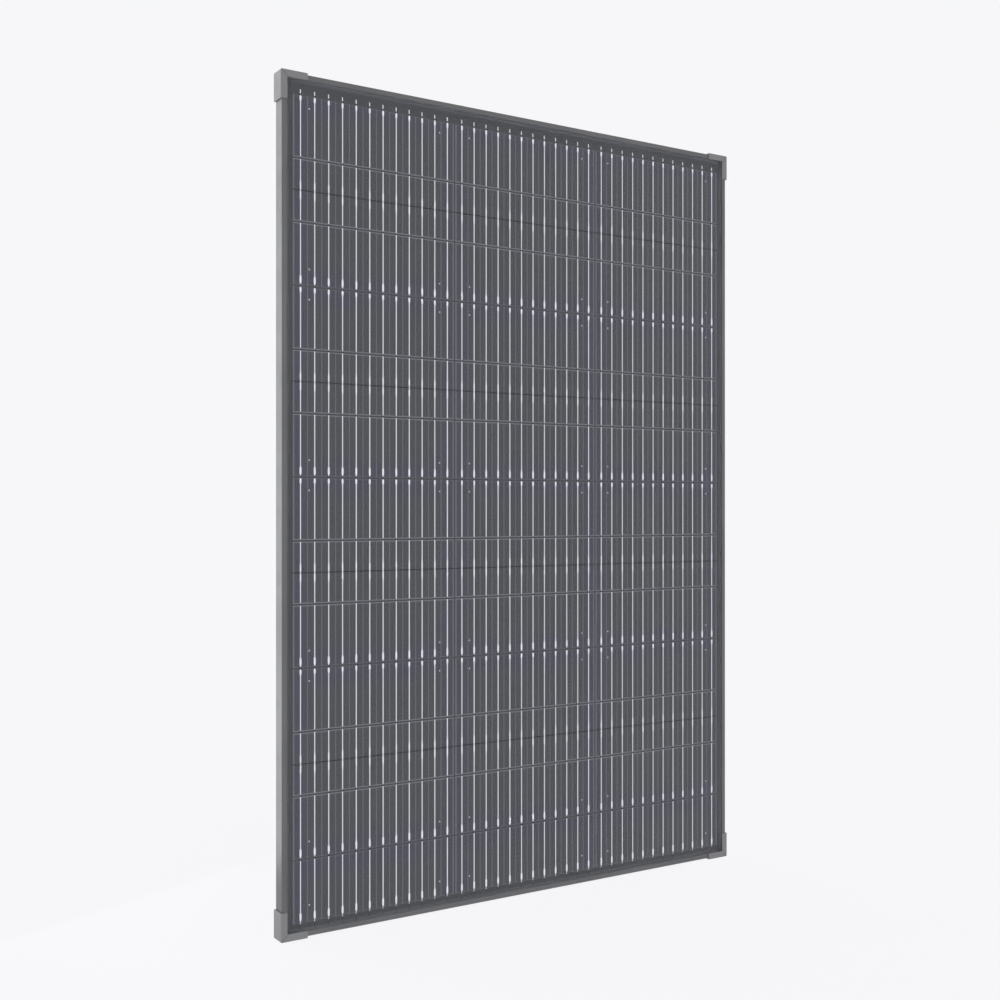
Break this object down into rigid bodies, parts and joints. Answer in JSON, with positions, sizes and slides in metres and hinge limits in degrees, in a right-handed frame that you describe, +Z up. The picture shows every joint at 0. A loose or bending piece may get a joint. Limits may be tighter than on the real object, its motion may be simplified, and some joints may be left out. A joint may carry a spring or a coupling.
{
  "type": "solar panel",
  "caption": "Upright framed solar panel with dark cut cells under glass, a slim black aluminium frame, plastic corner protectors and a flat junction box on its back.",
  "frame": {"origin": "centre of the frame's back plane, in the middle of the four mounting holes", "axes": "+X across the panel, +Z up its length, and the glass faces -Y"},
  "size_m": [0.665, 0.0203, 0.9758],
  "materials": {
    "frame_anodised": "black anodised, satin",
    "key_aluminium": "mill finish",
    "protector_plastic": "moulded, fine grain",
    "sealant": "cured silicone",
    "solar_glass": "tempered, anti-reflection coated",
    "clear_film": "laminated",
    "black_film": "laminated, black",
    "silicon": "textured dark silicon",
    "tinned_copper": "solder coated",
    "black_ribbon": "black coated",
    "insulation": "film",
    "backsheet_black": "satin film",
    "label_film": "matt film",
    "adhesive": "cured silicone",
    "box_plastic": "moulded, fine grain",
    "gasket_rubber": "matt",
    "terminal_metal": "tin plated",
    "spring_steel": "bright",
    "diode_case": "moulded"
  },
  "bodies": {
    "panel": {"frame_rail_left": "frame_anodised", "frame_rail_right": "frame_anodised", "frame_rail_top": "frame_anodised", "frame_rail_bottom": "frame_anodised", "corner_key_top_left": "key_aluminium", "corner_key_top_right": "key_aluminium", "corner_key_bottom_left": "key_aluminium", "corner_key_bottom_right": "key_aluminium", "edge_seal": "sealant", "front_glass": "solar_glass", "front_encapsulant": "clear_film", "cell_string_left": "silicon", "tabbing_ribbons_left": "tinned_copper", "cell_string_centre": "silicon", "tabbing_ribbons_centre": "tinned_copper", "cell_string_right": "silicon", "tabbing_ribbons_right": "tinned_copper", "top_bus_ribbons": "black_ribbon", "bottom_bus_ribbons": "black_ribbon", "string_leads": "tinned_copper", "lead_insulation": "insulation", "rear_encapsulant": "black_film", "backsheet": "backsheet_black", "rating_label": "label_film", "junction_box_adhesive": "adhesive", "junction_box_base": "box_plastic", "junction_box_gasket": "gasket_rubber", "lead_tails": "tinned_copper", "terminal_plates": "terminal_metal", "terminal_clips": "spring_steel", "bypass_diode_1": "diode_case", "bypass_diode_2": "diode_case", "bypass_diode_3": "diode_case", "cable_contact_left": "terminal_metal", "gland_seal_left": "gasket_rubber", "gland_nut_left": "box_plastic", "cable_contact_right": "terminal_metal", "gland_seal_right": "gasket_rubber", "gland_nut_right": "box_plastic"},
    "box_cover": {"junction_box_lid": "box_plastic"},
    "protector_top_left": {"corner_protector_top_left": "protector_plastic"},
    "protector_top_right": {"corner_protector_top_right": "protector_plastic"},
    "protector_bottom_left": {"corner_protector_bottom_left": "protector_plastic"},
    "protector_bottom_right": {"corner_protector_bottom_right": "protector_plastic"}
  },
  "joints": [
    {"name": "box_cover_lift", "type": "slide", "parent": "panel", "child": "box_cover", "axis": [0, 1, 0], "range_m": [0, 0.04]},
    {"name": "protector_top_left_pull", "type": "slide", "parent": "panel", "child": "protector_top_left", "axis": [-0.7071, 0, 0.7071], "range_m": [0, 0.03]},
    {"name": "protector_top_right_pull", "type": "slide", "parent": "panel", "child": "protector_top_right", "axis": [0.7071, 0, 0.7071], "range_m": [0, 0.03]},
    {"name": "protector_bottom_left_pull", "type": "slide", "parent": "panel", "child": "protector_bottom_left", "axis": [-0.7071, 0, -0.7071], "range_m": [0, 0.03]},
    {"name": "protector_bottom_right_pull", "type": "slide", "parent": "panel", "child": "protector_bottom_right", "axis": [0.7071, 0, -0.7071], "range_m": [0, 0.03]}
  ]
}
